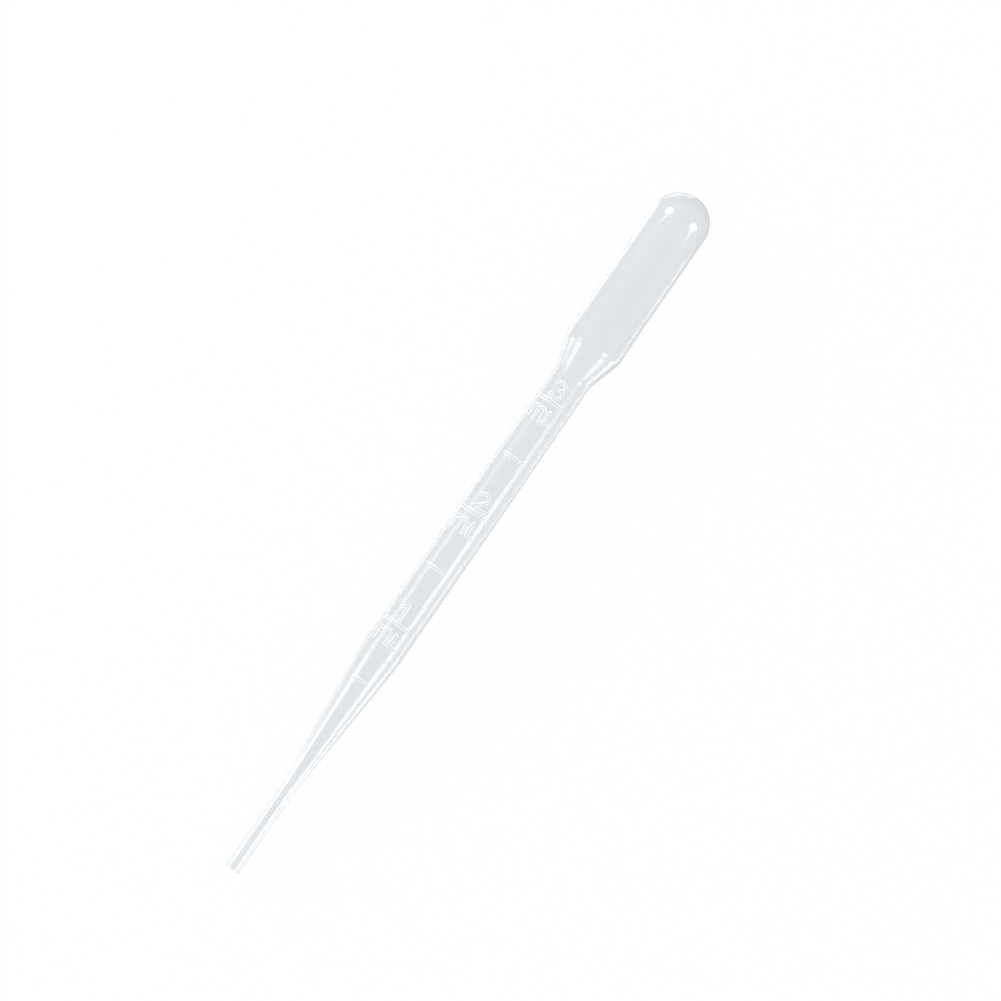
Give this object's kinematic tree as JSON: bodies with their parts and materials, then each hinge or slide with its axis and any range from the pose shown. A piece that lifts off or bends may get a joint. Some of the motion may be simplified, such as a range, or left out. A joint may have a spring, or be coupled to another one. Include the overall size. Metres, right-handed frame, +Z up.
{
  "type": "dropper pipette",
  "caption": "One-piece squeeze dropper pipette with a domed bulb, a stem with a raised scale, a drawn taper and a slender open tip.",
  "frame": {"origin": "on the bench, under the middle of the pipette's length and width as it lies at rest", "axes": "+Z up from the bench, +X along the pipette towards the bulb, +Y across it; the raised scale looks up, turned a little to +Y. The pipette's own axis climbs about 1.6 degrees towards the bulb, because it lies on the heel of the bulb and the foot of the stem"},
  "size_m": [0.155, 0.0118, 0.0125],
  "materials": {
    "polyethylene": "milky see-through low-density polyethylene, soft sheen as blown"
  },
  "bodies": {
    "root": {"pipette": "polyethylene"}
  },
  "joints": []
}
